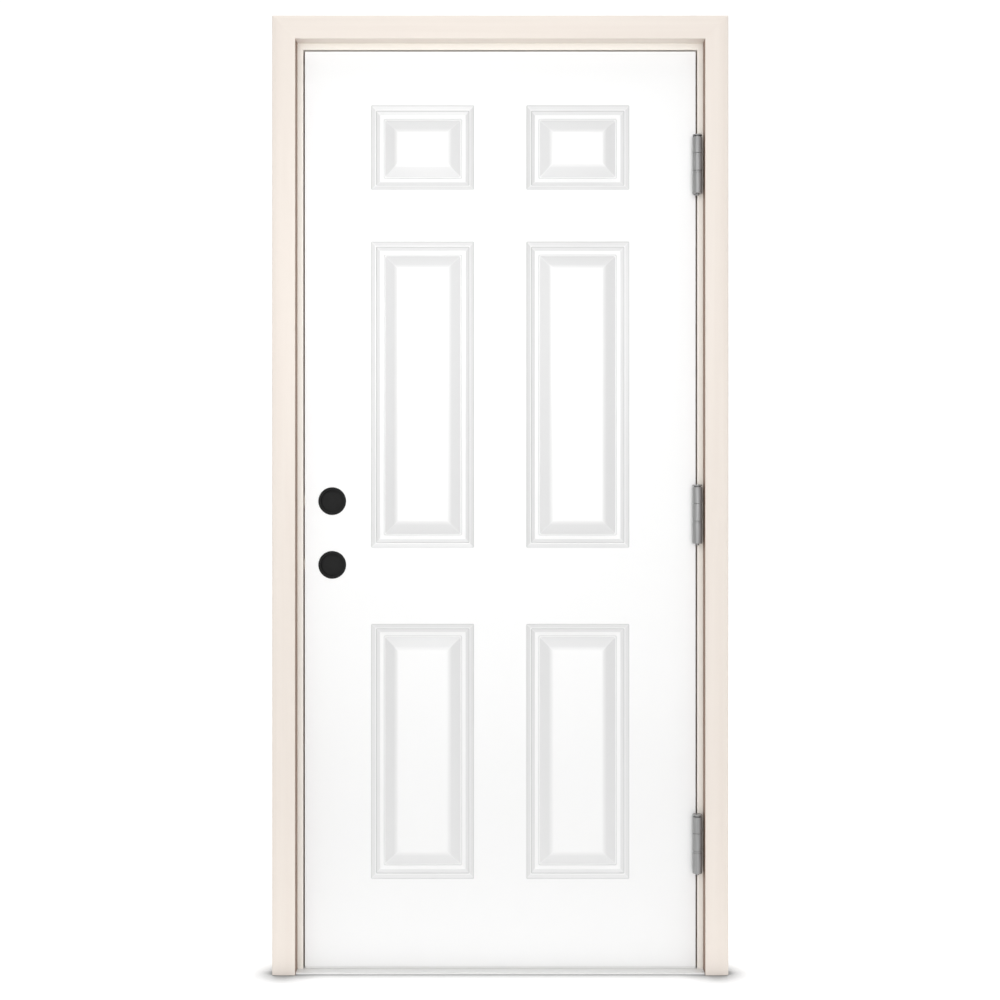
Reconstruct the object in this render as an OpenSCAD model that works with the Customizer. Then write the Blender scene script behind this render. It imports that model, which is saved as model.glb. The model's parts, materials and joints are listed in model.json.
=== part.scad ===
// Prehung outswing entry door: a six-panel pressed-steel door hung on three
// butt hinges in its own timber frame, with casing, threshold and seals.
// Millimetres. +X to the right seen from outside, +Y into the building, +Z up.
// Z = 0 is the underside of the jambs; X = 0 and Y = 0 are the unit's centres.

/* [Door slab] */
// Width of the door slab
slab_w = 857.25; // [820:0.25:920]
// Height of the door slab
slab_h = 2006.6; // [2000:0.1:2040]
// Thickness of the door slab
slab_t = 44.45; // [42:0.05:48]
// Thickness of each pressed steel skin
skin_t = 0.6; // [0.5:0.1:1.2]
// Depth of the lip that each skin turns over the slab's edges
skin_lip = 6; // [4:0.5:7]
// Width of the timber stiles inside the slab
stile_core_w = 30; // [28:1:40]
// Height of the timber rails inside the slab
rail_core_h = 38; // [34:1:60]

/* [Panels] */
// Width of a stile, from the slab's edge to the first moulding
stile_w = 146; // [145:0.1:152]
// Width of the mullion between the two columns of panels
mullion_w = 115.5; // [110:0.5:125]
// Heights from the slab's top: top rail, top panel, upper rail, middle panel, lock rail
panel_steps = [118.5, 184.5, 114.2, 670.5, 167.7]; // top to bottom
// Height of the two bottom panels
bottom_panel_h = 558.4; // [500:0.1:570]

/* [Frame] */
// Clearance between the slab and the jambs, at the sides and the head
door_gap = 3.175; // [3:0.025:4]
// Height of the slab above the floor
floor_gap = 8; // [7.5:0.5:12]
// Depth of the jambs through the wall
jamb_depth = 115.9; // [110:0.1:140]
// Thickness of the jambs where the slab sits
jamb_t = 19.05; // [18:0.05:22]
// How far the stop stands in from that face
stop_h = 12.7; // [11:0.1:14]
// Room between the back of the slab and the stop, for the weatherstrip
seal_room = 7.95; // [7.5:0.05:9]
// How far the head jamb is housed into the side jambs
housing = 9.5; // [6:0.5:12]

/* [Casing] */
// Width of the brickmould casing
casing_w = 50.8; // [45:0.1:60]
// Thickness of the brickmould casing
casing_t = 31.75; // [28:0.05:35]
// Strip of jamb edge left showing beside the casing
side_reveal = 12.7; // [11.5:0.1:14]
// Strip of jamb edge left showing under the head casing
head_reveal = 14.3; // [12:0.1:15]

/* [Hinges] */
// Height of each hinge barrel
hinge_h = 123; // [120:1:130]
// Outside diameter of the hinge barrel
barrel_d = 21; // [19:0.5:21]
// Diameter of the hinge pin
hinge_pin_d = 11; // [9:0.1:11]
// Thickness of the hinge leaves
leaf_t = 4.8; // [4:0.1:5]
// How much of the slab's edge each leaf covers
leaf_cover = 38.1; // [34:0.1:38.1]
// From the slab's face out to the hinge pin's centre
pin_offset = 12.7; // [12.7:0.1:15]
// Hinge centres, measured down from the slab's top
hinge_drops = [253.3, 1016.8, 1736.1]; // top to bottom

/* [Lock preparation] */
// Diameter of the two lock bores
lock_bore_d = 54; // [52:0.5:55]
// From the slab's edge to the lock bores' centres
backset = 60.325; // [60:0.1:62]
// Depth of the upper bore's centre below the slab's top
upper_bore_drop = 986; // [960:1:990]
// Distance between the two bores' centres
bore_spacing = 139.7; // [135:0.1:145]
// Diameter of the latch bores in the slab's edge and the strike jamb
latch_bore_d = 25.4; // [22:0.1:26]
// Diameter of the bore plugs' flanges
plug_flange_d = 61; // [58:0.5:62]

/* [Threshold] */
// Height of the threshold's bumper rail
sill_h = 25.4; // [24:0.1:28]
// Thickness of the threshold's metal
sill_metal = 2.2; // [2:0.1:3]
// How far the threshold reaches out past the slab's face
sill_reach = 27; // [15:0.5:30]

/* [Hidden] */
$fn = 48;

// Places through the wall, from the casing's face to the back of the jambs
front_y = -(casing_t + jamb_depth) / 2;
face_y = front_y + casing_t;             // jambs' outside edge and slab's outside face
back_y = -front_y;                       // jambs' inside edge
slab_back_y = face_y + slab_t;
stop_y = slab_back_y + seal_room;
slab_mid_y = face_y + slab_t / 2;

// Places across and up the unit
edge_x = slab_w / 2;                     // slab's edge
rabbet_x = edge_x + door_gap;            // side jambs' inner face beside the slab
stop_x = rabbet_x - stop_h;
jamb_x = rabbet_x + jamb_t;              // side jambs' back
casing_in_x = rabbet_x + side_reveal;
casing_out_x = casing_in_x + casing_w;
slab_bottom_z = floor_gap;
slab_top_z = slab_bottom_z + slab_h;
rabbet_z = slab_top_z + door_gap;        // head jamb's underside above the slab
stop_z = rabbet_z - stop_h;
jamb_z = rabbet_z + jamb_t;              // top of the jambs
casing_in_z = rabbet_z + head_reveal;
casing_out_z = casing_in_z + casing_w;
housed_x = rabbet_x + housing;

// Hinges
hinge_x = edge_x + door_gap / 2;
hinge_y = face_y - pin_offset;
hinge_zs = [for (drop = hinge_drops) slab_top_z - drop];
leaf_end_y = face_y + leaf_cover;
barrel_r = barrel_d / 2;
pin_r = hinge_pin_d / 2;
running_fit = 0.05;                      // radial, between a pin and a turning knuckle
fixed_fit = 0.03;                        // radial, between a pin and the leaf that holds it
top_knuckle = [26, hinge_h / 2];         // heights from the hinge's centre
middle_knuckle = [-12.3, 25.6];
bearing_span = [-17, -12.5];
bottom_knuckle = [-hinge_h / 2, -17];
leaf_slack = 0.15;                       // around a leaf in its mortise, up and down
screw_rows = [-48, -18, 18, 48];         // heights from the hinge's centre
screw_columns = [14, 28];                // from the slab's face, taken in turn

// Wood screws: countersunk head, plain shank
screw_head_r = 4.6;
screw_shank_r = 2.3;
screw_head_l = 3.2;
door_screw_l = 27;
jamb_screw_l = 18;                       // short of the jamb's back
long_screw_l = 50;                       // through a side jamb into the piece that it meets
hole_slack = 0.2;
head_screw_ys = [-22, 48];

// Panel mouldings
panel_w = (slab_w - 2 * stile_w - mullion_w) / 2;
panel_xs = [-mullion_w / 2 - panel_w / 2, mullion_w / 2 + panel_w / 2];
row_heights = [panel_steps[1], panel_steps[3], bottom_panel_h];
row_tops = [
    slab_top_z - panel_steps[0],
    slab_top_z - panel_steps[0] - panel_steps[1] - panel_steps[2],
    slab_top_z - panel_steps[0] - panel_steps[1] - panel_steps[2] - panel_steps[3] - panel_steps[4]
];
quirk_depth = 12.4;                      // deepest point of the moulding
arc_steps = 4;

// Lock preparation
bore_x = -edge_x + backset;
bore_zs = [slab_top_z - upper_bore_drop, slab_top_z - upper_bore_drop - bore_spacing];
bore_r = lock_bore_d / 2;
latch_r = latch_bore_d / 2;
faceplate = [3.2, 25.4, 57.15];          // depth, width, height of the edge mortise
strike_plate = [1.6, 28.6, 57.15];
block_w = 92;                            // lock block, from the stile inwards
block_margin = 75;                       // and beyond the bores' centres
plug_depth = 9;
plug_wall = 1.6;
plug_flange_t = 1.2;
plug_slack = 0.15;
bead_h = 2;                              // snap bead near the plug's foot
bead_r = bore_r + 0.7;

// Insides of the slab
core_out_x = edge_x - skin_t;            // stiles' outer faces, behind the lips
core_in_x = core_out_x - stile_core_w;
core_zs = [slab_bottom_z + skin_t, slab_top_z - skin_t];
sweep_ys = [face_y + 1.2, slab_back_y - 1.2];
sweep_half = edge_x - 1;
sweep_z = slab_bottom_z - 0.8;           // underside of the sweep's plate
sweep_rib_ys = [face_y + 8, slab_back_y - 8];
sweep_barb_ys = [sweep_rib_ys[0] + 6, sweep_rib_ys[1] - 6];
sweep_fin_ys = [sweep_ys[0] + 0.6, slab_mid_y, sweep_ys[1] - 0.6];

// Threshold
sill_nose_y = face_y - sill_reach;
flange_t = 4;
bumper_wall_y = slab_back_y + 4;
rail_t = 13;                             // bumper rail, through the wall
bumper_zs = [12, 20];                    // groove that holds the bumper
bumper_seat = 6;
sill_back_z = 17;                        // height where the top meets the back
sill_screw_z = 8;
sill_screw_ys = [32, 58];

// Timber: eased arrises, casing's outer band, brads
ease_r = 1.6;
ease_steps = 3;
band_w = 14;
band_fall = 1.8;
groove_xs = [-1, 3];                     // sealant groove in the casing's back, from the jamb's corner
groove_depth = 2;
brad_w = 1.6;
brad_l = 45;
side_brad_zs = [80, 500, 890, 1400, 1850];
head_brad_xs = [-380, 0, 380];

// Seals
kerf_w = 3.2;
kerf_depth = 10;
kerf_in = 1.2;                           // from the rabbet face to the kerf
seal_clear = 0.3;
pad_h = 24;

// ---------------------------------------------------------------- profiles

// Points of a quarter-round hollow from a to b, flattening towards b
function cove(a, b) = [
    for (i = [1 : arc_steps])
        let (s = 90 * i / arc_steps)
        [a[0] + (b[0] - a[0]) * (1 - cos(s)), a[1] + (b[1] - a[1]) * sin(s)]
];

// Moulding from the panel's outline in to the quirk: [distance inwards, depth]
falling = concat(
    [[0, 0], [0.8, 1.6]],
    cove([0.8, 1.6], [7.5, 4.4]),
    [[9.7, 4.5], [11.2, 6.7]],
    cove([11.2, 6.7], [23, 10.7]),
    [[26, 10.8], [27.5, quirk_depth]]
);

// Moulding from the quirk up to the raised field: [distance inwards, depth]
rising = [[29.5, quirk_depth], [30.5, 12], [54, 2.6], [55.5, 1.1], [57.5, 0.5]];

function mirrored(points, width) =
    [for (i = [len(points) - 1 : -1 : 0]) [width - points[i][0], points[i][1]]];

// Outline of the sunk part across a span: open side towards negative depth
module pit_outline(span, shift) {
    lip = -1;
    side = [for (p = falling) [p[0], p[1] + shift]];
    polygon(concat([[0, lip]], side, mirrored(side, span), [[span, lip]]));
}

// Outline of the raised field across a span, standing on the quirk's floor
module field_outline(span, shift) {
    root = quirk_depth + 2;
    side = [for (p = rising) [p[0], p[1] + shift]];
    far = span - side[0][0];
    polygon(concat([[side[0][0], root]], side, mirrored(side, span), [[far, root]]));
}

// Points of an eased arris about a centre, from one angle to another
function arris(u, v, from, to) =
    [for (i = [0 : ease_steps])
        let (a = from + (to - from) * i / ease_steps)
        [u + ease_r * cos(a), v + ease_r * sin(a)]];

// Section of a rabbeted jamb: [outwards from the opening, through the wall]
module jamb_section(rabbet, kerf = true) {
    stop = rabbet - stop_h;
    kerf_near = rabbet - kerf_in;
    kerf_far = kerf_near - kerf_w;
    slot = kerf ? [
        [kerf_near, stop_y], [kerf_near, stop_y + kerf_depth],
        [kerf_far, stop_y + kerf_depth], [kerf_far, stop_y]
    ] : [];
    polygon(concat(
        arris(rabbet + ease_r, face_y + ease_r, 270, 180),
        [[rabbet, stop_y]],
        slot,
        arris(stop + ease_r, stop_y + ease_r, 270, 180),
        arris(stop + ease_r, back_y - ease_r, 180, 90),
        [[rabbet + jamb_t, back_y], [rabbet + jamb_t, face_y]]
    ));
}

// Section of the casing: flat face, outer band falling back, eased arrises,
// and a groove in the back that straddles the jamb's corner
module casing_section(inner, jamb_corner) {
    outer = inner + casing_w;
    groove = [for (x = groove_xs) jamb_corner + x];
    polygon(concat(
        [[inner, face_y]],
        arris(inner + ease_r, front_y + ease_r, 180, 270),
        [[outer - band_w, front_y], [outer - ease_r, front_y + band_fall]],
        [[outer, front_y + band_fall + ease_r], [outer, face_y]],
        [[groove[1], face_y], [groove[1], face_y - groove_depth]],
        [[groove[0], face_y - groove_depth], [groove[0], face_y]]
    ));
}

// Section of a kerf-in weatherstrip: foam bulb on the stop, and its barb in the kerf
module seal_section(rabbet, barbed = true) {
    stop = rabbet - stop_h;
    kerf_near = rabbet - kerf_in - seal_clear;
    kerf_far = rabbet - kerf_in - kerf_w + seal_clear;
    nose = slab_back_y + seal_clear;
    barb = barbed ? [
        [kerf_near, stop_y], [kerf_near, stop_y + kerf_depth - 1],
        [kerf_far, stop_y + kerf_depth - 1], [kerf_far, stop_y]
    ] : [];
    polygon(concat(
        [[stop + 0.8, stop_y], [stop + 1, stop_y - 3], [stop + 2.4, nose + 1.4]],
        [[stop + 4.6, nose], [rabbet - 4.6, nose], [rabbet - 2, nose + 1.2]],
        [[rabbet - 0.8, stop_y - 3], [rabbet - 0.6, stop_y]],
        barb
    ));
}

// ---------------------------------------------------------------- placing helpers

// Extrudes a section [up, through the wall] along X, between -half and half
module along_x(half) {
    mirror([1, 0, -1])
        translate([0, 0, -half]) linear_extrude(height = 2 * half) children();
}

// Extrudes a section [across, through the wall] upwards, between two heights
module upwards(from, to) {
    translate([0, 0, from]) linear_extrude(height = to - from) children();
}

// Extrudes an outline [across, up] through the wall, between two places
module through(from, to) {
    translate([0, to, 0]) rotate([90, 0, 0]) linear_extrude(height = to - from) children();
}

module box_between(low, high) {
    translate(low) cube(high - low);
}

module left() { mirror([1, 0, 0]) children(); }

// A countersunk wood screw, head up at the origin and pointing along +Z
module screw(length) {
    tip = 4;
    rotate_extrude() polygon([
        [0, 0], [screw_head_r, 0], [screw_head_r, 0.5], [screw_shank_r, screw_head_l],
        [screw_shank_r, length - tip], [0.4, length], [0, length]
    ]);
}

// The hole that such a screw stands in
module screw_hole(length) {
    r = screw_shank_r + hole_slack;
    head = screw_head_r + hole_slack;
    rotate_extrude() polygon([
        [0, -1], [head, -1], [head, 0.5 + hole_slack], [r, screw_head_l + hole_slack],
        [r, length + 1], [0, length + 1]
    ]);
}

// ---------------------------------------------------------------- panel hollows

// What one panel presses into a skin, as depth along +Y, low corner at the origin.
// Crossing the outline run up with the outline run along keeps the lesser depth.
module panel_hollow(width, height, shift) {
    difference() {
        intersection() {
            linear_extrude(height = height) pit_outline(width, shift);
            mirror([1, 0, -1]) linear_extrude(height = width) pit_outline(height, shift);
        }
        intersection() {
            linear_extrude(height = height) field_outline(width, shift);
            mirror([1, 0, -1]) linear_extrude(height = width) field_outline(height, shift);
        }
    }
}

// All six hollows of the outside face, shifted a given depth into the slab
module outside_hollows(shift) {
    for (x = panel_xs, row = [0 : 2])
        translate([x - panel_w / 2, face_y, row_tops[row] - row_heights[row]])
            panel_hollow(panel_w, row_heights[row], shift);
}

// The same for the inside face, or for anything else that both faces share
module other_face() {
    translate([0, 2 * slab_mid_y, 0]) mirror([0, 1, 0]) children();
}

// ---------------------------------------------------------------- frame

module head_jamb_blank(kerf) {
    along_x(housed_x) jamb_section(rabbet_z, kerf);
}

// Right-hand side jamb, housed for the head
module side_jamb_blank() {
    difference() {
        upwards(0, jamb_z) jamb_section(rabbet_x);
        head_jamb_blank(false);
        head_joint_screws_cut();
        sill_screws_cut();
        side_brads();
    }
}

module hinge_jamb() {
    color("linen") difference() {
        side_jamb_blank();
        for (z = hinge_zs) {
            box_between(
                [rabbet_x - 1, face_y - 1, z - hinge_h / 2 - leaf_slack],
                [rabbet_x + leaf_t, leaf_end_y, z + hinge_h / 2 + leaf_slack]
            );
            jamb_screws_at(z, true);
        }
    }
}

module strike_jamb() {
    color("linen") difference() {
        left() side_jamb_blank();
        for (z = bore_zs) {
            translate([-rabbet_x - strike_plate[0], slab_mid_y, z])
                translate([0, -strike_plate[1] / 2, -strike_plate[2] / 2])
                    cube(strike_plate + [1, 0, 0]);
            translate([-jamb_x - 1, slab_mid_y, z])
                rotate([0, 90, 0]) cylinder(r = latch_r, h = jamb_t + 2);
        }
    }
}

module head_jamb() {
    color("linen") difference() {
        head_jamb_blank(true);
        head_joint_screws_cut();
        left() head_joint_screws_cut();
        head_brads();
    }
}

// Right-hand casing leg, mitred at the top
module casing_leg() {
    difference() {
        intersection() {
            upwards(0, casing_out_z) casing_section(casing_in_x, jamb_x);
            through(front_y - 1, face_y + 1) polygon([
                [casing_in_x, -1], [casing_out_x, -1],
                [casing_out_x, casing_out_z], [casing_in_x, casing_in_z]
            ]);
        }
        side_brads();
    }
}

module brickmould_right() { color("antiquewhite") casing_leg(); }

module brickmould_left() { color("antiquewhite") left() casing_leg(); }

module brickmould_head() {
    color("antiquewhite") difference() {
        intersection() {
            along_x(casing_out_x) casing_section(casing_in_z, jamb_z);
            through(front_y - 1, face_y + 1) polygon([
                [-casing_in_x, casing_in_z], [casing_in_x, casing_in_z],
                [casing_out_x, casing_out_z], [-casing_out_x, casing_out_z]
            ]);
        }
        head_brads();
    }
}

// Square brads that pin the casing to the edge of the jambs
module brad() { translate([-brad_w / 2, 0, -brad_w / 2]) cube([brad_w, brad_l, brad_w]); }

module side_brads() {
    for (z = side_brad_zs) translate([(casing_in_x + jamb_x) / 2, front_y, z]) brad();
}

module head_brads() {
    for (x = head_brad_xs) translate([x, front_y, (casing_in_z + jamb_z) / 2]) brad();
}

module brickmould_brads() {
    color("antiquewhite") {
        side_brads();
        left() side_brads();
        head_brads();
    }
}

// Places of the screws through a side jamb's back, pointing inwards
module from_jamb_back(ys, z) {
    for (y = ys) translate([jamb_x, y, z]) rotate([0, -90, 0]) children();
}

module head_joint_screws_cut() {
    from_jamb_back(head_screw_ys, rabbet_z + jamb_t / 2) screw_hole(long_screw_l);
}

module head_joint_screws() {
    color("silver") {
        from_jamb_back(head_screw_ys, rabbet_z + jamb_t / 2) screw(long_screw_l);
        left() from_jamb_back(head_screw_ys, rabbet_z + jamb_t / 2) screw(long_screw_l);
    }
}

module sill_screws_cut() {
    from_jamb_back(sill_screw_ys, sill_screw_z) screw_hole(long_screw_l + stop_h);
}

module sill_screws() {
    color("silver") {
        from_jamb_back(sill_screw_ys, sill_screw_z) screw(long_screw_l + stop_h);
        left() from_jamb_back(sill_screw_ys, sill_screw_z) screw(long_screw_l + stop_h);
    }
}

// ---------------------------------------------------------------- threshold

module both_jambs_solid() {
    upwards(-1, sill_h + 1) jamb_section(rabbet_x, false);
    left() upwards(-1, sill_h + 1) jamb_section(rabbet_x, false);
}

// Metal threshold: nose between the casing's legs, flange under the slab, rail behind
// it, top falling inwards
module sill_extrusion() {
    rail_back_y = bumper_wall_y + rail_t;
    color("whitesmoke") {
        along_x(casing_in_x - 0.3) polygon([
            [0, sill_nose_y], [flange_t - 1.2, sill_nose_y], [flange_t, sill_nose_y + 1.2],
            [flange_t, face_y], [0, face_y]
        ]);
        difference() {
            along_x(rabbet_x) polygon([
                [0, face_y], [flange_t, face_y],
                [flange_t, bumper_wall_y], [bumper_zs[0], bumper_wall_y],
                [bumper_zs[0], bumper_wall_y + bumper_seat],
                [bumper_zs[1], bumper_wall_y + bumper_seat],
                [bumper_zs[1], bumper_wall_y], [sill_h - 2, bumper_wall_y],
                [sill_h, bumper_wall_y + 2], [sill_h, rail_back_y + 4],
                [sill_back_z, back_y - 1], [0, back_y - 1],
                [0, back_y - 1 - sill_metal], [sill_back_z - sill_metal, back_y - 1 - sill_metal],
                [sill_h - sill_metal, rail_back_y + 4], [sill_h - sill_metal, rail_back_y],
                [0, rail_back_y]
            ]);
            both_jambs_solid();
        }
    }
}

// Composite filler under the threshold's metal
module sill_substrate() {
    rail_back_y = bumper_wall_y + rail_t;
    color("burlywood") difference() {
        along_x(stop_x) polygon([
            [0, back_y - 1 - sill_metal], [sill_back_z - sill_metal, back_y - 1 - sill_metal],
            [sill_h - sill_metal, rail_back_y + 4], [sill_h - sill_metal, rail_back_y],
            [0, rail_back_y]
        ]);
        sill_screws_cut();
        left() sill_screws_cut();
    }
}

// Vinyl bumper in the rail, close behind the slab's foot
module sill_bumper() {
    color("dimgray") difference() {
        along_x(rabbet_x - 0.5) polygon([
            [bumper_zs[0], bumper_wall_y + bumper_seat], [bumper_zs[1], bumper_wall_y + bumper_seat],
            [bumper_zs[1], bumper_wall_y - 1], [bumper_zs[1] - 2, slab_back_y + seal_clear],
            [bumper_zs[0] + 2, slab_back_y + seal_clear], [bumper_zs[0], bumper_wall_y - 1]
        ]);
        both_jambs_solid();
    }
}

// ---------------------------------------------------------------- seals

// Side strip: its barb stops under the head's stop, and the bulb goes on up to the head
module side_seal() {
    barb_top = stop_z - seal_clear;
    upwards(sill_h + pad_h + 0.6, barb_top) seal_section(rabbet_x);
    upwards(barb_top, rabbet_z - 0.4) seal_section(rabbet_x, false);
}

module weatherstrip_right() { color("gainsboro") side_seal(); }

module weatherstrip_left() { color("gainsboro") left() side_seal(); }

module weatherstrip_head() {
    color("gainsboro") along_x(stop_x + 0.4) seal_section(rabbet_z);
}

module corner_pad() {
    upwards(sill_h + 0.2, sill_h + pad_h) polygon([
        [stop_x + 1, stop_y], [stop_x + 4, slab_back_y + seal_clear],
        [rabbet_x - 0.4, slab_back_y + seal_clear], [rabbet_x - 0.4, stop_y]
    ]);
}

module corner_seal_pads() {
    color("gray") {
        corner_pad();
        left() corner_pad();
    }
}

// ---------------------------------------------------------------- hinges

module at_hinge(z) { translate([hinge_x, hinge_y, z]) children(); }

module turned(span, r) { translate([0, 0, span[0]]) cylinder(r = r, h = span[1] - span[0]); }

// Leaf plate and necks, from x_low to x_low + leaf_t, drilled for its screws
module leaf_body(x_low, spans, bore_fit) {
    difference() {
        union() {
            box_between([x_low, face_y, -hinge_h / 2], [x_low + leaf_t, leaf_end_y, hinge_h / 2]);
            for (span = spans) {
                box_between([x_low, hinge_y, span[0]], [x_low + leaf_t, face_y, span[1]]);
                translate([hinge_x, hinge_y, 0]) turned(span, barrel_r);
            }
        }
        translate([hinge_x, hinge_y, -hinge_h]) cylinder(r = pin_r + bore_fit, h = 2 * hinge_h);
    }
}

// Where the screws of one leaf stand, on the plane x = 0, pointing along +X
module leaf_screw_places() {
    for (i = [0 : 3])
        translate([0, face_y + screw_columns[i % 2], screw_rows[i]]) rotate([0, 90, 0]) children();
}

module jamb_screws_at(z, hole) {
    translate([rabbet_x, 0, z]) leaf_screw_places()
        if (hole) screw_hole(jamb_screw_l); else screw(jamb_screw_l);
}

module door_screws_at(z, hole) {
    translate([edge_x, 0, z]) mirror([1, 0, 0]) leaf_screw_places()
        if (hole) screw_hole(door_screw_l); else screw(door_screw_l);
}

module jamb_leaf(z) {
    color("slategray") difference() {
        translate([0, 0, z]) leaf_body(rabbet_x, [top_knuckle, bottom_knuckle], fixed_fit);
        jamb_screws_at(z, true);
    }
}

module door_leaf(z) {
    color("slategray") difference() {
        translate([0, 0, z]) leaf_body(edge_x - leaf_t, [middle_knuckle], running_fit);
        door_screws_at(z, true);
    }
}

module jamb_leaf_top() { jamb_leaf(hinge_zs[0]); }

module jamb_leaf_middle() { jamb_leaf(hinge_zs[1]); }

module jamb_leaf_bottom() { jamb_leaf(hinge_zs[2]); }

module door_leaf_top() { door_leaf(hinge_zs[0]); }

module door_leaf_middle() { door_leaf(hinge_zs[1]); }

module door_leaf_bottom() { door_leaf(hinge_zs[2]); }

// Fixed pin with a flat head over the top knuckle and a short tip below
module hinge_pin(z) {
    top = hinge_h / 2;
    color("silver") at_hinge(z) union() {
        turned([-top, top + 1], pin_r);
        turned([top, top + 1], barrel_r - 2);
        turned([top + 1, top + 5.5], barrel_r);
        turned([-top - 4, -top], pin_r - 1.5);
    }
}

module hinge_pin_top() { hinge_pin(hinge_zs[0]); }

module hinge_pin_middle() { hinge_pin(hinge_zs[1]); }

module hinge_pin_bottom() { hinge_pin(hinge_zs[2]); }

// Thrust bearings that the door's knuckles ride on
module hinge_bearings() {
    color("lightgray") for (z = hinge_zs) at_hinge(z) difference() {
        turned(bearing_span, barrel_r - 0.6);
        turned(bearing_span + [-1, 1], pin_r + fixed_fit);
    }
}

module jamb_leaf_screws() { color("silver") for (z = hinge_zs) jamb_screws_at(z, false); }

module door_leaf_screws() { color("silver") for (z = hinge_zs) door_screws_at(z, false); }

// ---------------------------------------------------------------- door slab

// Both lock bores, through the whole slab
module lock_bores(r) {
    for (z = bore_zs) translate([bore_x, face_y - 1, z])
        rotate([-90, 0, 0]) cylinder(r = r, h = slab_t + 2);
}

// Latch bores and faceplate recesses, in from the lock edge
module latch_bores() {
    for (z = bore_zs) {
        translate([-edge_x - 1, slab_mid_y, z])
            rotate([0, 90, 0]) cylinder(r = latch_r, h = backset + 1);
        translate([-edge_x, slab_mid_y, z])
            translate([-1, -faceplate[1] / 2, -faceplate[2] / 2])
                cube(faceplate + [1, 0, 0]);
    }
}

module door_leaf_mortises() {
    for (z = hinge_zs) box_between(
        [edge_x - leaf_t, face_y - 1, z - hinge_h / 2 - leaf_slack],
        [edge_x + 1, leaf_end_y, z + hinge_h / 2 + leaf_slack]
    );
}

// Shallow pan: flat sheet with its lip turned in along all four edges
module skin_pan() {
    difference() {
        box_between([-edge_x, face_y, slab_bottom_z], [edge_x, face_y + skin_lip, slab_top_z]);
        box_between(
            [-edge_x + skin_t, face_y + skin_t, slab_bottom_z + skin_t],
            [edge_x - skin_t, face_y + skin_lip + 1, slab_top_z - skin_t]
        );
    }
}

// Pressed skin: the pan and the six mouldings, one sheet throughout
module pressed_skin() {
    difference() {
        union() {
            skin_pan();
            outside_hollows(skin_t);
        }
        outside_hollows(0);
    }
}

module exterior_skin() {
    color("white") difference() {
        pressed_skin();
        lock_bores(bore_r);
        door_leaf_mortises();
    }
}

module interior_skin() {
    color("white") difference() {
        other_face() pressed_skin();
        lock_bores(bore_r);
    }
}

// Block that fills the slab between its skins, for a span across and a span up
module core_block(xs, zs) {
    box_between([xs[0], face_y + skin_t, zs[0]], [xs[1], slab_back_y - skin_t, zs[1]]);
}

module hinge_stile() {
    color("wheat") difference() {
        core_block([core_in_x, core_out_x], core_zs);
        door_leaf_mortises();
        for (z = hinge_zs) door_screws_at(z, true);
    }
}

module lock_stile() {
    color("wheat") difference() {
        core_block([-core_out_x, -core_in_x], core_zs);
        latch_bores();
    }
}

module top_rail() {
    color("wheat") core_block([-core_in_x, core_in_x], [core_zs[1] - rail_core_h, core_zs[1]]);
}

module bottom_rail() {
    color("wheat") difference() {
        core_block([-core_in_x, core_in_x], [core_zs[0], core_zs[0] + rail_core_h]);
        sweep_barbs();
    }
}

module lock_block_blank() {
    core_block(
        [-core_in_x, -core_in_x + block_w],
        [bore_zs[1] - block_margin, bore_zs[0] + block_margin]
    );
}

module lock_block() {
    color("tan") difference() {
        lock_block_blank();
        lock_bores(bore_r);
        latch_bores();
        for (z = bore_zs) translate([bore_x, face_y + plug_depth - bead_h - 0.2, z])
            rotate([-90, 0, 0]) cylinder(r = bead_r + 0.2, h = bead_h + 0.3);
    }
}

// Foam poured between the skins, stiles and rails
module foam_core() {
    color("khaki") difference() {
        core_block([-core_in_x, core_in_x], [core_zs[0] + rail_core_h, core_zs[1] - rail_core_h]);
        lock_block_blank();
        outside_hollows(skin_t);
        other_face() outside_hollows(skin_t);
    }
}

// Barbed legs that hold the sweep in the bottom rail
module sweep_barbs() {
    for (y = sweep_barb_ys) box_between(
        [-core_in_x, y - 1, core_zs[0] - 1], [core_in_x, y + 1, core_zs[0] + 9]
    );
}

// Finned vinyl sweep under the slab: plate, rib between the skins' lips, barbs, fins
module door_sweep() {
    color("whitesmoke") union() {
        box_between(
            [-sweep_half, sweep_ys[0], sweep_z], [sweep_half, sweep_ys[1], slab_bottom_z]
        );
        box_between(
            [-core_in_x, sweep_rib_ys[0], sweep_z], [core_in_x, sweep_rib_ys[1], core_zs[0]]
        );
        sweep_barbs();
        for (y = sweep_fin_ys) box_between(
            [-sweep_half, y - 0.6, flange_t + seal_clear], [sweep_half, y + 0.6, sweep_z]
        );
    }
}

// Snap-in cap for an unused lock bore: flange outside, short cup inside
module bore_plug(z) {
    outer = bore_r - plug_slack;
    flange = plug_flange_d / 2;
    color("black") translate([bore_x, face_y, z]) rotate([-90, 0, 0]) rotate_extrude() polygon([
        [0, plug_depth], [outer - 0.6, plug_depth], [bead_r, plug_depth - bead_h / 2],
        [outer, plug_depth - bead_h], [outer, 0], [flange, 0],
        [flange - 0.6, -plug_flange_t], [outer - plug_wall, -plug_flange_t],
        [outer - plug_wall, plug_depth - plug_wall], [0, plug_depth - plug_wall]
    ]);
}

module bore_plug_upper() { bore_plug(bore_zs[0]); }

module bore_plug_lower() { bore_plug(bore_zs[1]); }

// ---------------------------------------------------------------- the unit

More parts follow.
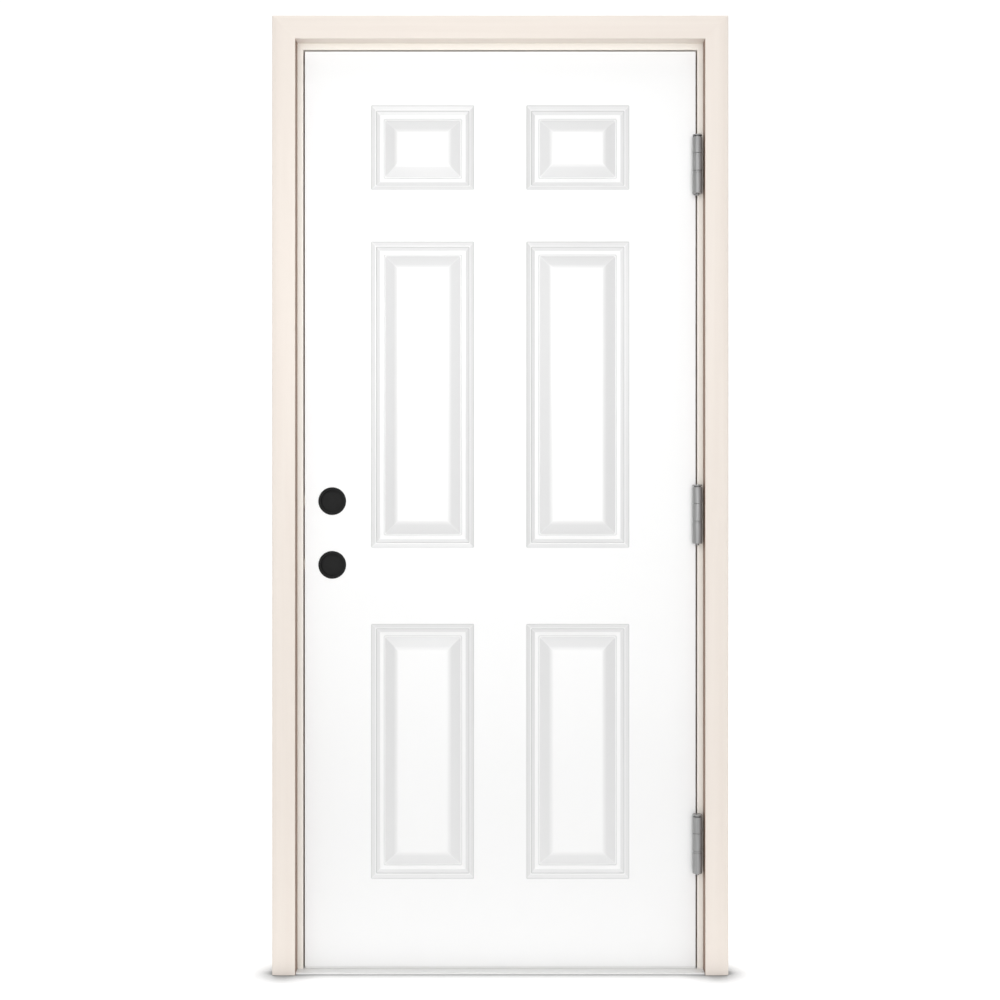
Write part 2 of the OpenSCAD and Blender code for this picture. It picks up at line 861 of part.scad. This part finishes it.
strike_jamb();
hinge_jamb();
head_jamb();
brickmould_left();
brickmould_right();
brickmould_head();
sill_extrusion();
sill_substrate();
sill_bumper();
weatherstrip_left();
weatherstrip_right();
weatherstrip_head();
corner_seal_pads();
jamb_leaf_top();
jamb_leaf_middle();
jamb_leaf_bottom();
hinge_pin_top();
hinge_pin_middle();
hinge_pin_bottom();
hinge_bearings();
jamb_leaf_screws();
brickmould_brads();
head_joint_screws();
sill_screws();
exterior_skin();
interior_skin();
hinge_stile();
lock_stile();
top_rail();
bottom_rail();
foam_core();
lock_block();
door_leaf_top();
door_leaf_middle();
door_leaf_bottom();
door_leaf_screws();
door_sweep();
bore_plug_upper();
bore_plug_lower();
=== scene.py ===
"""Looks of a prehung six-panel steel door in its cased timber frame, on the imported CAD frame.

Metres, row frame: +X right seen from outside, +Y into the building, +Z up.
"""

import json
import math

import bpy
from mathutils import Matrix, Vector
from mathutils.geometry import delaunay_2d_cdt


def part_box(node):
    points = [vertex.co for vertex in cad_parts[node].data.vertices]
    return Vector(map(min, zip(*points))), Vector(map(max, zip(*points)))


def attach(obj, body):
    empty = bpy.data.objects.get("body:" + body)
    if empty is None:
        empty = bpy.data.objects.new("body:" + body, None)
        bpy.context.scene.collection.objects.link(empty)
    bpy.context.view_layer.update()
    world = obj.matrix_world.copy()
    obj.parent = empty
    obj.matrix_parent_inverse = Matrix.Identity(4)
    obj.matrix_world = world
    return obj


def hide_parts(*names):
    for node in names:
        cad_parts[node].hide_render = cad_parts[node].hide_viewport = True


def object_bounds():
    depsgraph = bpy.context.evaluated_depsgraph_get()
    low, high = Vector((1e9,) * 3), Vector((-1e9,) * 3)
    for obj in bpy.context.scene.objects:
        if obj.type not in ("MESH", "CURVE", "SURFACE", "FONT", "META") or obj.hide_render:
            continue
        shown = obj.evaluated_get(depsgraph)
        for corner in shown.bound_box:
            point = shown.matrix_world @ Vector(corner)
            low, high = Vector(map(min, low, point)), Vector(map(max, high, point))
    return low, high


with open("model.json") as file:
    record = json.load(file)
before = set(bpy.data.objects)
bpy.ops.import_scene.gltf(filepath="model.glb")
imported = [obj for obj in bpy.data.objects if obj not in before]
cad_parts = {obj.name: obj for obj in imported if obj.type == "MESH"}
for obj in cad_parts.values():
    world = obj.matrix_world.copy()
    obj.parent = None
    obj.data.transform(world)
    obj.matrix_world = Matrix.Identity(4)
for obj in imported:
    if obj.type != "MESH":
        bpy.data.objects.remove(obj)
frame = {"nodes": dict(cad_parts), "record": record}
cad_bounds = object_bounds()
nodes = frame["nodes"]
MM = 0.001

# ------------------------------------------------------------------ materials


class Shader:
    """A procedural material: a Principled shader and short ways to add what feeds it."""

    def __init__(self, name, **sockets):
        self.material = bpy.data.materials.new(name)
        self.material.use_nodes = True
        self.tree = self.material.node_tree
        self.bsdf = self.tree.nodes["Principled BSDF"]
        for socket, value in sockets.items():
            self.bsdf.inputs[socket.replace("_", " ")].default_value = value
        self.position = self.add("ShaderNodeTexCoord").outputs["Object"]

    def add(self, kind, inputs=(), **settings):
        node = self.tree.nodes.new(kind)
        for key, value in settings.items():
            setattr(node, key, value)
        for key, value in dict(inputs).items():
            self.feed(node.inputs[key], value)
        return node

    def feed(self, socket, value):
        if isinstance(value, bpy.types.NodeSocket):
            self.tree.links.new(value, socket)
        else:
            socket.default_value = value

    def stretched(self, scale):
        """The piece's own coordinates, scaled apart along the three axes."""
        inputs = {"Vector": self.position, "Scale": scale}
        return self.add("ShaderNodeMapping", inputs).outputs["Vector"]

    def noise(self, scale, detail=3.0, vector=None, distortion=0.0):
        inputs = {
            "Vector": vector or self.position,
            "Scale": scale,
            "Detail": detail,
            "Distortion": distortion,
        }
        return self.add("ShaderNodeTexNoise", inputs).outputs["Fac"]

    def math(self, operation, a, b=0.5, c=0.5):
        node = self.add("ShaderNodeMath", operation=operation)
        for socket, value in zip(node.inputs, (a, b, c)):
            self.feed(socket, value)
        return node.outputs[0]

    def span(self, fac, from_low, from_high, low=0.0, high=1.0):
        """fac carried from one range to another, held at its ends."""
        inputs = {
            "Value": fac,
            "From Min": from_low,
            "From Max": from_high,
            "To Min": low,
            "To Max": high,
        }
        return self.add("ShaderNodeMapRange", inputs).outputs["Result"]

    def blend(self, fac, a, b):
        """Colour a where fac is 0 and b where it is 1."""
        node = self.add("ShaderNodeMix", data_type="RGBA")
        self.feed(node.inputs["Factor"], fac)
        for socket, value in ((node.inputs[6], a), (node.inputs[7], b)):
            self.feed(socket, value if isinstance(value, bpy.types.NodeSocket) else (*value, 1.0))
        return node.outputs[2]

    def colour(self, value):
        self.feed(self.bsdf.inputs["Base Color"], value)

    def roughness(self, value):
        self.feed(self.bsdf.inputs["Roughness"], value)

    def bump(self, height, strength, distance):
        inputs = {"Height": height, "Strength": strength, "Distance": distance}
        node = self.add("ShaderNodeBump", inputs)
        self.feed(self.bsdf.inputs["Normal"], node.outputs["Normal"])


def enamel(name, light, dark, rough, peel=0.05):
    """Baked primer or powder coat: faint clouding and a fine orange peel."""
    s = Shader(name)
    s.colour(s.blend(s.noise(2.5), light, dark))
    s.roughness(s.span(s.noise(30), 0.3, 0.7, rough - 0.03, rough + 0.03))
    s.bump(s.noise(700, 2.0), peel, 0.0003)
    return s


def pressed_enamel(name):
    """White primer on pressed steel, with painted shade: a darker grey the steeper the moulding
    slopes.
    """
    s = Shader(name)
    s.bsdf.inputs["Specular IOR Level"].default_value = 0.9
    normal = s.add("ShaderNodeTexCoord").outputs["Normal"]
    y = s.add("ShaderNodeSeparateXYZ", {"Vector": normal}).outputs["Y"]
    facing = s.math("ABSOLUTE", y)
    on_flats = s.blend(s.noise(2.5), (0.9, 0.9, 0.9), (0.885, 0.885, 0.88))
    # Painted shade: the moulding's slopes and steep walls get a darker grey than the flats, by
    # how far their normal turns from Y
    slope_painted_shade, steep_painted_shade = (0.755, 0.755, 0.755), (0.55, 0.55, 0.55)
    sloping, steep = s.span(facing, 0.999, 0.93), s.span(facing, 0.9, 0.5)
    s.colour(s.blend(steep, s.blend(sloping, on_flats, slope_painted_shade), steep_painted_shade))
    s.roughness(0.3)
    return s


def primed_timber(name, along, light, dark):
    """Factory primed pine, with faint grain that runs along one axis, and painted shade on the
    casing legs' inner returns.
    """
    s = Shader(name)
    scale = [55.0, 55.0, 55.0]
    scale[along] = 1.6
    grain = s.noise(1.0, 5.0, s.stretched(scale), 0.4)
    cream = s.blend(s.span(grain, 0.3, 0.7), light, dark)
    # Painted shade: the casing legs' inner returns are coloured dark brown for the shadow that
    # falls in them
    x = s.add("ShaderNodeSeparateXYZ", {"Vector": s.position}).outputs["X"]
    normal = s.add("ShaderNodeTexCoord").outputs["Normal"]
    across = s.add("ShaderNodeSeparateXYZ", {"Vector": normal}).outputs["X"]
    near = s.math("COMPARE", s.math("ABSOLUTE", x), CASING_IN_X, RETURN_BAND)
    sideways = s.math("GREATER_THAN", s.math("ABSOLUTE", across), 0.8)
    s.colour(s.blend(s.math("MULTIPLY", near, sideways), cream, RETURN_SHADE_BROWN))
    s.roughness(s.span(grain, 0.3, 0.7, 0.42, 0.52))
    s.bump(grain, 0.12, 0.0004)
    return s


def slab_timber(name, along):
    """Bare planed softwood in long wavering bands that run along one axis."""
    s = Shader(name, Roughness=0.6)
    scale = [1.0, 1.0, 1.0]
    scale[along] = 0.05
    warped = s.stretched(scale)
    inputs = {"Vector": warped, "Scale": 40.0, "Distortion": 5.0, "Detail": 3.0}
    rings = s.add("ShaderNodeTexWave", inputs).outputs["Fac"]
    fine = s.noise(420.0, 4.0, warped)
    wood = s.blend(s.span(rings, 0.35, 1.0), (0.66, 0.47, 0.28), (0.47, 0.29, 0.14))
    s.colour(s.blend(s.span(fine, 0.35, 0.75, 0.0, 0.35), wood, (0.36, 0.22, 0.11)))
    s.bump(fine, 0.2, 0.0003)
    return s


def steel(name, light, dark, rough):
    """Plated or milled metal, faintly brushed."""
    s = Shader(name, Metallic=1.0)
    scratches = s.noise(1.0, 3.0, s.stretched((300.0, 300.0, 12.0)))
    s.colour(s.blend(s.span(scratches, 0.3, 0.7), light, dark))
    s.roughness(s.span(scratches, 0.3, 0.7, rough - 0.06, rough + 0.06))
    return s


def hinge_plating(name):
    """Dull plated steel, with painted shade: nearly black down in the seams between the knuckles,
    darkened by ambient occlusion.
    """
    s = steel(name, (0.37, 0.37, 0.37), (0.29, 0.29, 0.29), 0.38)
    s.bsdf.inputs["Metallic"].default_value = 0.35
    plating = s.bsdf.inputs["Base Color"].links[0].from_socket
    seam_occlusion = s.add("ShaderNodeAmbientOcclusion", {"Distance": SEAM_REACH}, samples=8).outputs["AO"]
    # Painted shade: the colour goes nearly black where the seams are occluded
    s.colour(s.blend(s.span(seam_occlusion, 0.25, 0.75), (0.03, 0.03, 0.03), plating))
    return s


def plastic(name, light, dark, rough, scale=60.0, bump=0.08):
    """Moulded or extruded plastic with a fine even texture."""
    s = Shader(name)
    s.colour(s.blend(s.noise(scale), light, dark))
    s.roughness(s.span(s.noise(scale * 5), 0.3, 0.7, rough - 0.04, rough + 0.04))
    s.bump(s.noise(scale * 12), bump, 0.0003)
    return s


CASING_IN_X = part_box("brickmould_right")[0].x
RETURN_BAND = 0.9 * MM  # how near CASING_IN_X a point counts as on the casing's inner return
# dark brown painted shade for the casing legs' inner returns
RETURN_SHADE_BROWN = (0.27, 0.17, 0.125)
# how far the hinge seams' painted shade reaches
SEAM_REACH = 4 * MM
CREAM = (0.835, 0.765, 0.7), (0.81, 0.735, 0.67)
PALE = (0.96, 0.92, 0.86), (0.94, 0.9, 0.83)

white_steel = pressed_enamel("white_steel")
white_coat = enamel("white_coat", (0.86, 0.86, 0.855), (0.83, 0.83, 0.82), 0.42)
casing_up = primed_timber("casing_up", 2, *CREAM)
casing_across = primed_timber("casing_across", 0, *CREAM)
jamb_up = primed_timber("jamb_up", 2, *PALE)
jamb_across = primed_timber("jamb_across", 0, *PALE)
wood_up = slab_timber("slab_timber_up", 2)
wood_across = slab_timber("slab_timber_across", 0)
hinge_steel = hinge_plating("hinge_steel")
zinc = steel("zinc_screw", (0.7, 0.69, 0.65), (0.58, 0.57, 0.54), 0.3)
composite = plastic("sill_composite", (0.5, 0.4, 0.28), (0.4, 0.31, 0.21), 0.7, 90.0, 0.3)
grey_vinyl = plastic("grey_vinyl", (0.16, 0.16, 0.16), (0.12, 0.12, 0.12), 0.55)
white_vinyl = plastic("white_vinyl", (0.84, 0.84, 0.83), (0.8, 0.8, 0.78), 0.5)
seal_foam = plastic("seal_foam", (0.8, 0.77, 0.7), (0.72, 0.69, 0.62), 0.6, 120.0, 0.2)
core_foam = plastic("core_foam", (0.82, 0.72, 0.42), (0.7, 0.6, 0.34), 0.85, 300.0, 0.5)
black_plastic = plastic("black_plastic", (0.008, 0.008, 0.008), (0.012, 0.012, 0.012), 0.6)
black_plastic.bsdf.inputs["Specular IOR Level"].default_value = 0.2

FINISHES = {
    "primed_timber": casing_up,
    "sill_aluminium": white_coat,
    "sill_composite": composite,
    "grey_vinyl": grey_vinyl,
    "white_vinyl": white_vinyl,
    "seal_foam": seal_foam,
    "hinge_steel": hinge_steel,
    "zinc_screw": zinc,
    "primed_steel": white_steel,
    "bare_timber": wood_up,
    "core_foam": core_foam,
    "black_plastic": black_plastic,
}
OWN_FINISH = {
    "strike_jamb": jamb_up,
    "hinge_jamb": jamb_up,
    "head_jamb": jamb_across,
    "brickmould_head": casing_across,
    "top_rail": wood_across,
    "bottom_rail": wood_across,
}
EDGES = {"primed_timber": 0.5, "sill_aluminium": 0.3, "hinge_steel": 0.7}  # millimetres


def dress(node, slot):
    """Finish for one CAD node, and softened edges where its slot has them."""
    finish = OWN_FINISH.get(node, FINISHES[slot])
    shown = nodes[node]
    shown.data.materials.clear()
    shown.data.materials.append(finish.material)
    if slot not in EDGES:
        return
    normals = shown.data.attributes.get("custom_normal")
    if normals:
        shown.data.attributes.remove(normals)
    shown.data.shade_smooth()
    weld = shown.modifiers.new("weld", "WELD")
    weld.merge_threshold = 1e-5
    bevel = shown.modifiers.new("edges", "BEVEL")
    bevel.width = EDGES[slot] * MM
    bevel.segments = 3
    bevel.angle_limit = math.radians(40)
    bevel.use_clamp_overlap = True
    weighted = shown.modifiers.new("normals", "WEIGHTED_NORMAL")
    weighted.keep_sharp = True


slots = {s["node"]: s["material_slot"] for s in frame["record"]["subparts"]}
for node_name, slot_name in slots.items():
    dress(node_name, slot_name)

# ------------------------------------------------------------------ pressed skins

STILE = 146 * MM  # slab's edge to the first moulding
MULLION = 115.5 * MM
STEPS = [118.5 * MM, 184.5 * MM, 114.2 * MM, 670.5 * MM, 167.7 * MM, 558.4 * MM]  # from the top
SHEET = 0.6 * MM
FOLD = 0.9 * MM  # radius of the fold into the lip
FOLD_ANGLES = [math.pi / 2 * i / 5 for i in range(6)]
LIP = 6 * MM
BORE_X = -0.3683
BORE_R = 27 * MM
BORES = (1.0286, 0.8889)
BORE_POINTS = 64
NOTCH = 4.8 * MM  # depth of the cut-outs for the door leaves
NOTCH_SLACK = 0.15 * MM
CORNER_STEPS = 5
QUIRK_END = 30  # millimetres inwards, where the raised slope begins


def moulding():
    """Section of the panel moulding, eased as pressing and paint leave it.

    Pairs of distance inwards from the panel's outline and depth, in millimetres.
    """
    sharp = [(-3.0, 0.0), (0.0, 0.0), (1.0, 1.6), (8.4, 4.8), (10.0, 4.9), (11.4, 7.0)]
    sharp += [(18.4, 10.2), (26.4, 11.1), (27.8, 12.4), (29.5, 12.4), (30.5, 12.0)]
    sharp += [(50.0, 3.1), (54.0, 1.7), (57.0, 0.9), (60.0, 0.5), (63.0, 0.5)]
    step, reach, half = 0.1, 0.35, 10  # sampling, width of the easing, samples each side
    least_turn, longest = 0.03, 6  # slope change and length that call for a point
    count = round((sharp[-1][0] - sharp[0][0]) / step)
    depths, k = [], 0
    for i in range(count + 1):
        d = sharp[0][0] + i * step
        while k < len(sharp) - 2 and d > sharp[k + 1][0]:
            k += 1
        (d0, h0), (d1, h1) = sharp[k], sharp[k + 1]
        depths.append(h0 + (h1 - h0) * min(1.0, max(0.0, (d - d0) / (d1 - d0))))
    weights = [math.exp(-0.5 * (j * step / reach) ** 2) for j in range(-half, half + 1)]
    total = sum(weights)
    eased = []
    for i in range(count + 1):
        picked = [depths[min(count, max(0, i + j - half))] for j in range(2 * half + 1)]
        value = sum(w * h for w, h in zip(weights, picked)) / total
        eased.append((sharp[0][0] + i * step, value))
    # Keep a point where the line bends, and at least one to each longest stretch
    kept = [eased[0]]
    for i in range(1, count):
        (d0, h0), (d1, h1), (d2, h2) = kept[-1], eased[i], eased[i + 1]
        turn = abs((h2 - h1) / (d2 - d1) - (h1 - h0) / (d1 - d0))
        if turn > least_turn or d1 - d0 > longest:
            kept.append(eased[i])
    return kept + [eased[-1]]


def corner_radius(d):
    """Radius of the moulding's corners, d millimetres in from the panel's outline."""
    if d < QUIRK_END:
        radius = 1.8 + 1.6 * min(1.0, max(0.0, d / 28))
    else:
        radius = 2.2
    return radius * MM + max(0.0, -d * MM)


def rounded_rectangle(low_x, low_z, high_x, high_z, radius):
    """Points round a rectangle with rounded corners, counter-clockwise seen from -Y."""
    centres = [
        (high_x - radius, low_z + radius, -90),
        (high_x - radius, high_z - radius, 0),
        (low_x + radius, high_z - radius, 90),
        (low_x + radius, low_z + radius, 180),
    ]
    points = []
    for x, z, start in centres:
        for i in range(CORNER_STEPS + 1):
            a = math.radians(start + 90 * i / CORNER_STEPS)
            points.append((x + radius * math.cos(a), z + radius * math.sin(a)))
    return points


class Sheet:
    """Vertices and faces of a mesh, gathered ring by ring."""

    def __init__(self, face_y, inwards):
        self.face_y, self.inwards = face_y, inwards
        self.points, self.faces = [], []

    def vertex(self, x, z, depth):
        self.points.append((x, self.face_y + self.inwards * depth, z))
        return len(self.points) - 1

    def ring(self, outline, depth):
        return [self.vertex(x, z, depth) for x, z in outline]

    def join(self, outer, inner, closed=True):
        """A band of quads between two rings, outer one first seen from outside."""
        count = len(outer)
        for i in range(count if closed else count - 1):
            j = (i + 1) % count
            self.faces.append((outer[i], outer[j], inner[j], inner[i]))

    def skirt(self, lines):
        """Open bands of quads, each line outside the one before it."""
        for before, line in zip(lines, lines[1:]):
            self.join(line, before, False)

    def fill(self, outline, holes):
        """Flat triangles inside outline and outside each hole, all lists of vertices."""
        ids = outline + [i for hole in holes for i in hole]
        place = [Vector((self.points[i][0], self.points[i][2])) for i in ids]
        edges, start = [], 0
        for ring in [outline, *holes]:
            count = len(ring)
            edges += [(start + i, start + (i + 1) % count) for i in range(count)]
            start += count
        _, _, faces, origins, _, _ = delaunay_2d_cdt(place, edges, [], 2, 1e-7)
        back = [o[0] for o in origins]
        inside = [[(self.points[i][0], self.points[i][2]) for i in hole] for hole in holes]
        for face in faces:
            corners = [ids[back[i]] for i in face]
            x = sum(self.points[i][0] for i in corners) / len(corners)
            z = sum(self.points[i][2] for i in corners) / len(corners)
            if not any(contains(hole, x, z) for hole in inside):
                self.faces.append(tuple(corners))

    def build(self, name, material):
        faces = self.faces if self.inwards > 0 else [f[::-1] for f in self.faces]
        mesh = bpy.data.meshes.new(name)
        mesh.from_pydata(self.points, [], faces)
        mesh.validate()
        mesh.shade_smooth()
        made = bpy.data.objects.new(name, mesh)
        bpy.context.scene.collection.objects.link(made)
        mesh.materials.append(material)
        mesh.set_sharp_from_angle(angle=math.radians(50))
        return made


def contains(outline, x, z):
    """Whether a point is inside an outline, by counting crossings."""
    odd = False
    for (x0, z0), (x1, z1) in zip(outline, outline[1:] + outline[:1]):
        if (z0 > z) != (z1 > z) and x < x0 + (z - z0) * (x1 - x0) / (z1 - z0):
            odd = not odd
    return odd


def panel_outlines(low, high):
    """(low x, low z, high x, high z) of each of the six panels."""
    width = (high.x - low.x - 2 * STILE - MULLION) / 2
    lefts = (low.x + STILE, high.x - STILE - width)
    top, rows = high.z, []
    for gap, height in zip(STEPS[::2], STEPS[1::2]):
        top -= gap
        rows.append((top - height, top))
        top -= height
    return [(x, z0, x + width, z1) for x in lefts for z0, z1 in rows]


def pressed_skin(name, node, outside, notches):
    """One face of the slab: a folded sheet with its mouldings, standing for a CAD skin."""
    low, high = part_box(node)
    sheet = Sheet(low.y if outside else high.y, 1 if outside else -1)
    profile = moulding()
    holes = []
    for x0, z0, x1, z1 in panel_outlines(low, high):
        previous = None
        for d, depth in profile:
            e = d * MM
            outline = rounded_rectangle(x0 + e, z0 + e, x1 - e, z1 - e, corner_radius(d))
            ring = sheet.ring(outline, depth * MM)
            if previous is None:
                holes.append(ring)
            else:
                sheet.join(previous, ring)
            previous = ring
        sheet.fill(previous, [])
    for z in BORES:
        angles = [2 * math.pi * i / BORE_POINTS for i in range(BORE_POINTS)]
        circle = [(BORE_X + BORE_R * math.cos(a), z + BORE_R * math.sin(a)) for a in angles]
        rim = sheet.ring(circle, 0.0)
        holes.append(rim)
        sheet.join(sheet.ring(circle, 0.0), sheet.ring(circle, SHEET))
    # Outline inside the folds, in at the hinge leaves
    right, notch_x = high.x - FOLD, high.x - NOTCH
    outline = [(low.x + FOLD, low.z + FOLD), (right, low.z + FOLD)]
    for z0, z1 in notches:
        outline += [(right, z0), (notch_x, z0), (notch_x, z1), (right, z1)]
    outline += [(right, high.z - FOLD), (low.x + FOLD, high.z - FOLD)]
    sheet.fill(sheet.ring(outline, 0.0), holes)
    # Folds and lips: plan of each side, from the flat out over the edge
    section = [(math.sin(a) * FOLD, (1 - math.cos(a)) * FOLD) for a in FOLD_ANGLES]
    section += [(FOLD, LIP), (FOLD - SHEET, LIP)]
    spans = [low.z, *[z for notch in notches for z in notch], high.z]
    for i in range(0, len(spans), 2):
        lines = []
        for out, depth in section:
            z0 = spans[i] + (FOLD - out if i == 0 else 0)
            z1 = spans[i + 1] - (FOLD - out if i + 2 == len(spans) else 0)
            lines.append(sheet.ring([(right + out, z0), (right + out, z1)], depth))
        sheet.skirt(lines)
    lines = []
    for out, depth in section:
        e = FOLD - out
        x0, z0, x1, z1 = low.x + e, low.z + e, high.x - e, high.z - e
        lines.append(sheet.ring([(x1, z1), (x0, z1), (x0, z0), (x1, z0)], depth))
    sheet.skirt(lines)
    return sheet.build(name, white_steel.material)


hinge_spans = sorted(
    (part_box(n)[0].z - NOTCH_SLACK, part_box(n)[1].z + NOTCH_SLACK)
    for n in ("door_leaf_top", "door_leaf_middle", "door_leaf_bottom")
)
skin_outside = pressed_skin("skin_outside", "exterior_skin", True, hinge_spans)
skin_inside = pressed_skin("skin_inside", "interior_skin", False, [])
for skin, stood_for in ((skin_outside, "exterior_skin"), (skin_inside, "interior_skin")):
    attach(skin, "door")
    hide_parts(stood_for)

# ------------------------------------------------------------------ hinge pins


def turned_pin(name, node):
    """Hinge pin standing for a CAD one: short tip, shank, groove and flat head."""
    low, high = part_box(node)
    x, y = (low.x + high.x) / 2, (low.y + high.y) / 2
    tip, shank, neck, head = 4 * MM, 5.45 * MM, 7.5 * MM, high.x - x
    chamfer, ease = 0.8 * MM, 0.4 * MM
    tip_end, neck_start, head_start = low.z + 4 * MM, high.z - 5.5 * MM, high.z - 2.8 * MM
    section = [
        (tip - chamfer, low.z),
        (tip, low.z + chamfer),
        (tip, tip_end),
        (shank, tip_end),
        (shank, neck_start),
        (neck, neck_start + 0.05 * MM),
        (neck, head_start),
        (head - ease, head_start),
        (head, head_start + ease),
        (head, high.z - chamfer),
        (head - chamfer, high.z),
    ]
    count = 48
    turns = [2 * math.pi * i / count for i in range(count)]
    points = [(x + r * math.cos(a), y + r * math.sin(a), z) for r, z in section for a in turns]
    faces = [tuple(reversed(range(count)))]
    for k in range(len(section) - 1):
        for i in range(count):
            j = (i + 1) % count
            a, b = k * count, (k + 1) * count
            faces.append((a + i, a + j, b + j, b + i))
    last = (len(section) - 1) * count
    faces.append(tuple(range(last, last + count)))
    mesh = bpy.data.meshes.new(name)
    mesh.from_pydata(points, [], faces)
    mesh.shade_smooth()
    mesh.set_sharp_from_angle(angle=math.radians(35))
    mesh.materials.append(hinge_steel.material)
    made = bpy.data.objects.new(name, mesh)
    bpy.context.scene.collection.objects.link(made)
    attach(made, "frame")
    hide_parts(node)


for place in ("top", "middle", "bottom"):
    turned_pin("pin_" + place, "hinge_pin_" + place)

# ------------------------------------------------------------------ floor, light, camera


def floor():
    """A wide pale disc just under the unit, with a painted glow like a sweep table lit from
    beneath, and a painted contact shadow.
    """
    mesh = bpy.data.meshes.new("floor")
    count, radius, z = 64, 30.0, -0.5 * MM
    angles = [2 * math.pi * i / count for i in range(count)]
    rim = [(radius * math.cos(a), radius * math.sin(a), z) for a in angles]
    faces = [(0, i + 1, (i + 1) % count + 1) for i in range(count)]
    mesh.from_pydata([(0, 0, z), *rim], [], faces)
    made = bpy.data.objects.new("floor", mesh)
    bpy.context.scene.collection.objects.link(made)
    s = Shader("floor_paint", Roughness=0.9)
    s.bsdf.inputs["Specular IOR Level"].default_value = 0.0
    # Painted shadow: a soft dark line where something stands on the floor, from ambient
    # occlusion, in both its colour and its glow
    reach = {"Distance": 60 * MM}
    shade = s.add("ShaderNodeAmbientOcclusion", reach, samples=8).outputs["AO"]
    shade = s.math("POWER", shade, 2.5)
    pale = s.blend(s.noise(0.7), (0.78, 0.78, 0.78), (0.76, 0.76, 0.76))
    s.colour(s.blend(shade, (0.1, 0.1, 0.1), pale))
    # Painted light: its glow grows from the front towards the door, and on behind it
    depth = s.add("ShaderNodeSeparateXYZ", {"Vector": s.position}).outputs["Y"]
    in_front = s.span(depth, -0.9, -0.2, 0.05, 0.46)
    behind = s.span(depth, 0.0, 4.0, 0.0, 0.25)
    glow = s.math("ADD", in_front, behind)
    s.bsdf.inputs["Emission Color"].default_value = (1.0, 1.0, 1.0, 1.0)
    s.feed(s.bsdf.inputs["Emission Strength"], s.math("MULTIPLY", glow, shade))
    mesh.materials.append(s.material)


def sky():
    """Soft surround: white straight behind the door, and dimmer everywhere else."""
    world = bpy.data.worlds.new("studio")
    world.use_nodes = True
    tree = world.node_tree
    background = tree.nodes["Background"]
    where = tree.nodes.new("ShaderNodeTexCoord")
    split = tree.nodes.new("ShaderNodeSeparateXYZ")
    ramp = tree.nodes.new("ShaderNodeMapRange")
    ramp.interpolation_type = "SMOOTHSTEP"
    limits = {"From Min": 0.45, "From Max": 0.84, "To Min": 0.42, "To Max": 1.05}
    for socket, value in limits.items():
        ramp.inputs[socket].default_value = value
    tree.links.new(where.outputs["Generated"], split.inputs[0])
    tree.links.new(split.outputs["Y"], ramp.inputs["Value"])
    tree.links.new(ramp.outputs["Result"], background.inputs["Strength"])
    background.inputs["Color"].default_value = (1.0, 1.0, 1.0, 1.0)
    bpy.context.scene.world = world


def softbox(name, place, aim, size, watts):
    """A rectangular light that the camera doesn't see."""
    data = bpy.data.lights.new(name, "AREA")
    data.shape, data.size, data.size_y = "RECTANGLE", size[0], size[1]
    data.energy = watts
    made = bpy.data.objects.new(name, data)
    made.location = place
    made.rotation_mode = "QUATERNION"
    made.rotation_quaternion = (Vector(aim) - Vector(place)).to_track_quat("-Z", "Y")
    made.visible_camera = False
    bpy.context.scene.collection.objects.link(made)


floor()
sky()
softbox("fill", place=(0, -3.3, 1.4), aim=(0, 0, 1.2), size=(3.6, 5.0), watts=88.0)
softbox("key", place=(-0.19, -0.75, 1.5), aim=(-0.19, 0, 1.45), size=(0.25, 0.4), watts=0.7)
softbox("top", place=(0, 0.2, 4.2), aim=(0, -0.6, 0), size=(3, 3), watts=58.0)

DISTANCE = 2.9  # from the lens to the casing's face
SEEN_WIDTH = 2.1685  # metres across the picture at the casing's face
EYE_X = -0.5 * MM
EYE_HEIGHT = 1.0311
SENSOR = 36.0
camera_data = bpy.data.cameras.new("camera")
camera = bpy.data.objects.new("camera", camera_data)
bpy.context.scene.collection.objects.link(camera)
bpy.context.scene.camera = camera
camera_data.sensor_width = SENSOR
camera_data.lens = SENSOR * DISTANCE / SEEN_WIDTH
camera.location = (EYE_X, cad_bounds[0].y - DISTANCE, EYE_HEIGHT)
camera.rotation_euler = (math.radians(90), 0, 0)
camera_data.clip_end = 200.0

bpy.context.scene.view_settings.view_transform = "Standard"
